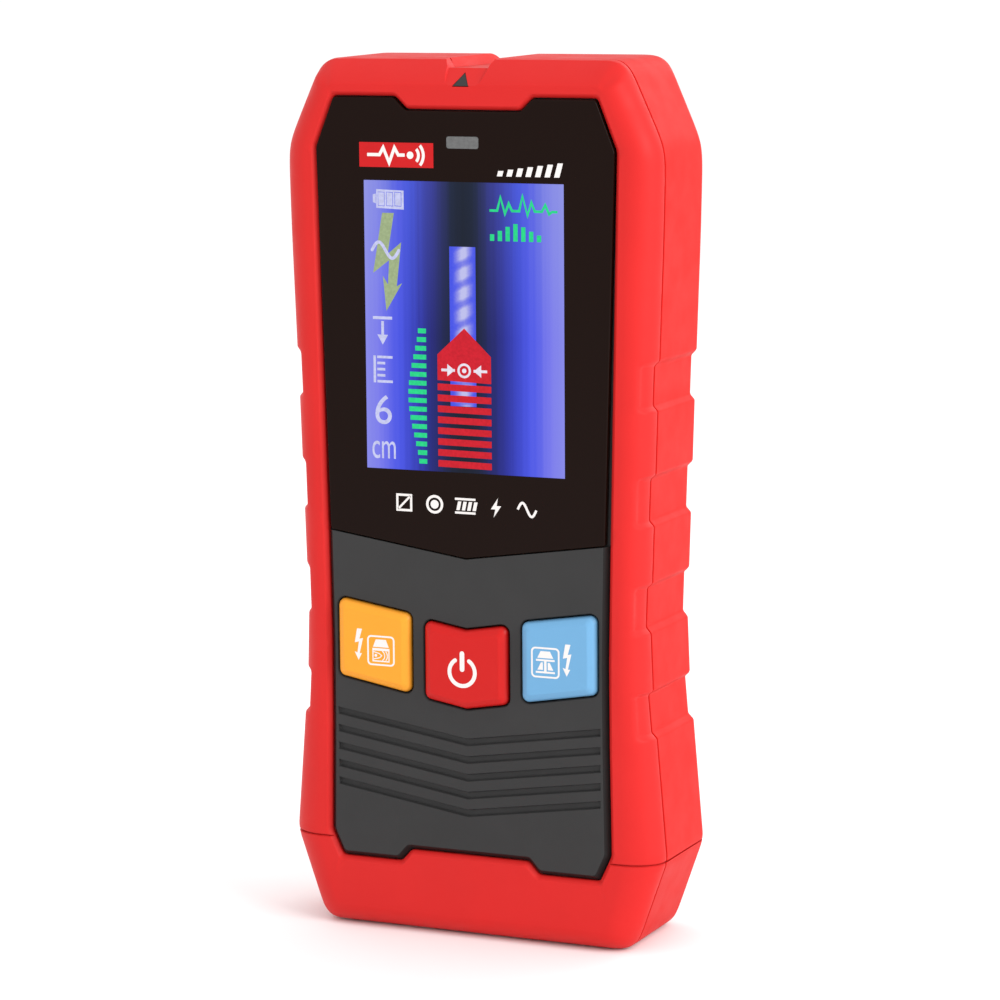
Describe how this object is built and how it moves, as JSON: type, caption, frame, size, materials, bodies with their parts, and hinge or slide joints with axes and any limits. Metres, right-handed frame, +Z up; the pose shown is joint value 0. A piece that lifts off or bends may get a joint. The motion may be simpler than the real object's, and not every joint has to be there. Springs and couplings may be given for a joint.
{
  "type": "stud finder",
  "caption": "Handheld wall scanner with a colour display, soft red grip, side finger recesses, chevron key pad, sprung keys and a lift-off battery door.",
  "frame": {"origin": "middle of the bounding box at the foot of the housing, which stands on its lower end", "axes": "+Z up to the marking notch, -Y out of the display, +Y out of the back that lies on the wall, +X to the right of someone who faces the display"},
  "size_m": [0.069, 0.0264, 0.1504],
  "materials": {
    "skin_red": "satin soft-touch, red",
    "shell_grey": "fine matte, dark grey",
    "case_red": "satin, red",
    "door_red": "satin, red",
    "window_black": "glossy, black border",
    "key_yellow": "satin, yellow-orange",
    "key_red": "satin, red",
    "key_blue": "satin, light blue",
    "lcd_glass": "glossy display",
    "lcd_frame_steel": "thin stamped frame",
    "flex_amber": "flexible circuit",
    "socket_cream": "moulded",
    "board_green": "solder mask",
    "part_black": "moulded black",
    "part_steel": "tinned",
    "led_white": "white",
    "pipe_grey": "translucent grey",
    "choke_grey": "ferrite",
    "coil_copper": "lacquered copper",
    "battery_jacket": "printed jacket",
    "snap_black": "vinyl",
    "lead_red": "pvc",
    "lead_black": "pvc",
    "screw_zinc": "zinc plated",
    "insert_brass": "turned",
    "label_silver": "printed foil",
    "felt_black": "felt"
  },
  "bodies": {
    "housing": {"front_overmould": "skin_red", "front_shell": "shell_grey", "rear_case": "case_red", "display_window": "window_black", "lcd_panel": "lcd_glass", "lcd_frame": "lcd_frame_steel", "display_flex": "flex_amber", "flex_socket": "socket_cream", "main_board": "board_green", "sensor_board": "board_green", "left_switch": "part_black", "power_switch": "part_black", "right_switch": "part_black", "status_led": "led_white", "light_pipe": "pipe_grey", "microcontroller": "part_black", "memory_chip": "part_black", "crystal": "part_steel", "inductor": "choke_grey", "capacitor": "part_steel", "buzzer": "part_black", "shield_can": "part_steel", "board_link": "part_black", "search_coil": "coil_copper", "battery": "battery_jacket", "battery_snap": "snap_black", "lead_red": "lead_red", "lead_black": "lead_black", "door_insert": "insert_brass", "rear_label": "label_silver", "case_screw_1": "screw_zinc", "board_screw_1": "screw_zinc", "glide_pad_1": "felt_black", "case_screw_2": "screw_zinc", "board_screw_2": "screw_zinc", "glide_pad_2": "felt_black", "case_screw_3": "screw_zinc", "board_screw_3": "screw_zinc", "glide_pad_3": "felt_black", "case_screw_4": "screw_zinc", "board_screw_4": "screw_zinc", "glide_pad_4": "felt_black"},
    "cover": {"battery_door": "door_red", "door_screw": "screw_zinc"},
    "left_button": {"left_key": "key_yellow"},
    "power_button": {"power_key": "key_red"},
    "right_button": {"right_key": "key_blue"}
  },
  "joints": [
    {"name": "left_key_slide", "type": "slide", "parent": "housing", "child": "left_button", "axis": [0, 1, 0], "range_m": [0, 0.0005], "stiffness_N_per_m": 2500, "springref_m": -0.0002},
    {"name": "power_key_slide", "type": "slide", "parent": "housing", "child": "power_button", "axis": [0, 1, 0], "range_m": [0, 0.0005], "stiffness_N_per_m": 2500, "springref_m": -0.0002},
    {"name": "right_key_slide", "type": "slide", "parent": "housing", "child": "right_button", "axis": [0, 1, 0], "range_m": [0, 0.0005], "stiffness_N_per_m": 2500, "springref_m": -0.0002},
    {"name": "door_slide", "type": "slide", "parent": "housing", "child": "cover", "axis": [0, 1, 0], "range_m": [0, 0.04]}
  ]
}
